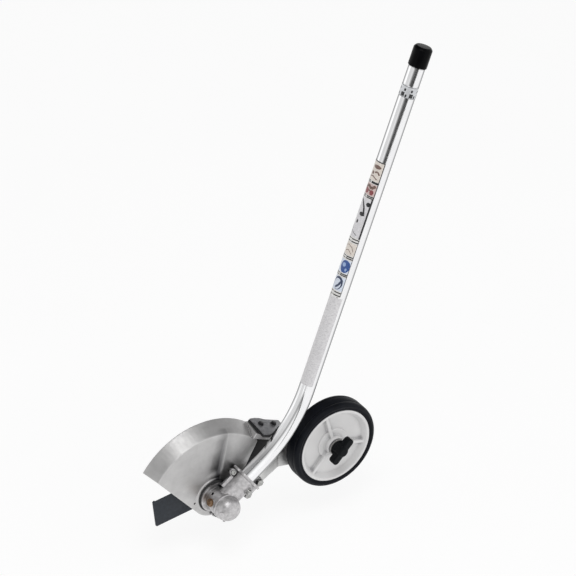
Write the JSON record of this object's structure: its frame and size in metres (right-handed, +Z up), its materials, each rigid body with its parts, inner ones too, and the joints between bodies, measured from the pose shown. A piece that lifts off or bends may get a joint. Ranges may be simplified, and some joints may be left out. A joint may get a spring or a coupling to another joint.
{
  "type": "lawn_edger_attachment",
  "caption": "Lawn edger attachment for a split-shaft power head: bent aluminium drive tube, right-angle gear case, cast blade guard, flat blade and an adjustable depth wheel",
  "frame": {"origin": "on the axis of the tube's upper leg, at the middle of the full-size stretch that a power head's coupler grips (mount shaft_spigot)", "axes": "+X is the operator's end, +Y the blade side, +Z up; the attachment is in its working attitude, the upper leg leaning back at 69.1 degrees and the blade's axis along Y"},
  "size_m": [0.4722, 0.0888, 0.7272],
  "materials": {
    "polished_aluminium": "bright drawn and polished, slightly blurred reflections along the length",
    "black_vinyl": "soft glossy dipped vinyl",
    "band_film": "clear and silver printed film",
    "icon_film": "glossy printed film with coloured cells",
    "text_film": "pale film with a fine grey pattern",
    "liner_nylon": "smooth black nylon",
    "soft_rubber": "matt black rubber",
    "cable_steel": "wound steel wire with a film of grease",
    "bright_steel": "ground steel",
    "bronze": "sintered bronze, dull",
    "cast_case": "die-cast aluminium, fine sand-blasted grain",
    "zinc_steel": "bright zinc plate",
    "yellow_zinc": "yellow passivated zinc",
    "gear_steel": "hardened and ground steel, oiled",
    "cage_steel": "pressed steel strip",
    "spring_steel": "black phosphated spring steel",
    "dark_blade_steel": "dark blue-grey heat-treated steel with a thin coat of paint",
    "cast_guard": "cast aluminium, satin, fine grain",
    "black_steel": "black oxide",
    "black_rubber": "matt black sheet rubber",
    "grey_plate": "grey plated steel, satin",
    "cast_arm": "cast aluminium, light, satin",
    "grey_plastic": "light grey moulded plastic, slight sheen",
    "tyre_rubber": "black rubber, slight sheen on the shoulder",
    "black_plastic": "black moulded plastic, fine texture",
    "brass": "turned brass"
  },
  "bodies": {
    "frame": {"drive_tube": "polished_aluminium", "limit_band": "band_film", "icon_label": "icon_film", "info_label": "text_film", "cable_liner": "liner_nylon", "liner_spacers": "soft_rubber", "drive_cable": "cable_steel", "upper_bushing": "bronze", "gear_case": "cast_case", "pinch_bolt": "zinc_steel", "pinch_nut": "zinc_steel", "locating_screw": "zinc_steel", "grease_plug": "yellow_zinc", "input_outer_rings": "bright_steel", "input_circlip": "spring_steel", "dome_outer_ring": "bright_steel", "flange_outer_ring": "bright_steel", "output_circlip": "spring_steel", "oil_seal": "soft_rubber", "guard": "cast_guard", "guard_screws": "black_steel", "guard_stop_screw": "black_steel", "flap_retainer": "grey_plate", "rubber_flap": "black_rubber", "flap_screws": "black_steel", "wheel_bracket": "cast_arm", "bracket_bolts": "zinc_steel", "bracket_nuts": "zinc_steel"},
    "cap": {"tube_end_cap": "black_vinyl"},
    "upper_drive": {"upper_drive_end": "bright_steel"},
    "pinion": {"pinion_shaft": "gear_steel", "input_inner_rings": "bright_steel"},
    "input_ball_set": {"input_balls": "bright_steel", "input_cages": "cage_steel"},
    "blade_train": {"output_shaft": "gear_steel", "bevel_gear": "gear_steel", "dome_inner_ring": "bright_steel", "flange_inner_ring": "bright_steel", "blade_flange": "bright_steel", "blade": "dark_blade_steel", "blade_washer": "bright_steel", "blade_nut": "zinc_steel"},
    "dome_ball_set": {"dome_balls": "bright_steel", "dome_cage": "cage_steel"},
    "flange_ball_set": {"flange_balls": "bright_steel", "flange_cage": "cage_steel"},
    "axle": {"axle_bolt": "zinc_steel", "back_washer": "zinc_steel", "axle_sleeve": "bright_steel", "thrust_washer": "zinc_steel"},
    "wheel": {"wheel_hub": "grey_plastic", "hub_bushings": "bronze", "tyre": "tyre_rubber"},
    "knob_seat": {"knob_washer": "zinc_steel"},
    "knob": {"wing_knob": "black_plastic", "knob_insert": "brass"}
  },
  "joints": [
    {"name": "cap_pull", "type": "slide", "parent": "frame", "child": "cap", "axis": [0.3567, 0, 0.9342], "range_m": [0, 0.12]},
    {"name": "blade_spin", "type": "hinge", "parent": "frame", "child": "blade_train", "pos_m": [-0.33588, 0, -0.6326], "axis": [0, 1, 0], "continuous": true},
    {"name": "pinion_spin", "type": "hinge", "parent": "frame", "child": "pinion", "pos_m": [-0.33588, 0, -0.6326], "axis": [0.8271, 0, 0.5621], "continuous": true},
    {"name": "upper_drive_spin", "type": "hinge", "parent": "frame", "child": "upper_drive", "pos_m": [0.00553, 0, 0.01448], "axis": [0.3567, 0, 0.9342], "continuous": true},
    {"name": "input_cage_spin", "type": "hinge", "parent": "frame", "child": "input_ball_set", "pos_m": [-0.31521, 0, -0.61855], "axis": [0.8271, 0, 0.5621], "continuous": true},
    {"name": "dome_cage_spin", "type": "hinge", "parent": "frame", "child": "dome_ball_set", "pos_m": [-0.33588, -0.0185, -0.6326], "axis": [0, 1, 0], "continuous": true},
    {"name": "flange_cage_spin", "type": "hinge", "parent": "frame", "child": "flange_ball_set", "pos_m": [-0.33588, 0.0162, -0.6326], "axis": [0, 1, 0], "continuous": true},
    {"name": "wheel_height", "type": "slide", "parent": "frame", "child": "axle", "axis": [0, 0, 1], "range_m": [-0.038, 0.006]},
    {"name": "wheel_spin", "type": "hinge", "parent": "axle", "child": "wheel", "pos_m": [-0.13128, 0.0135, -0.6076], "axis": [0, 1, 0], "continuous": true},
    {"name": "knob_travel", "type": "slide", "parent": "axle", "child": "knob_seat", "axis": [0, -1, 0], "range_m": [0, 0.00225]},
    {"name": "knob_turn", "type": "hinge", "parent": "knob_seat", "child": "knob", "pos_m": [-0.13128, -0.0166, -0.6076], "axis": [0, -1, 0], "range_deg": [0, 540]}
  ],
  "couplings": [
    {"joint": "pinion_spin", "follows": "blade_spin", "ratio": -1.5455},
    {"joint": "upper_drive_spin", "follows": "blade_spin", "ratio": -1.5455},
    {"joint": "input_cage_spin", "follows": "blade_spin", "ratio": -0.56862},
    {"joint": "dome_cage_spin", "follows": "blade_spin", "ratio": 0.36793},
    {"joint": "flange_cage_spin", "follows": "blade_spin", "ratio": 0.37136},
    {"joint": "knob_turn", "follows": "knob_travel", "rad_per_m": 4188.8}
  ]
}
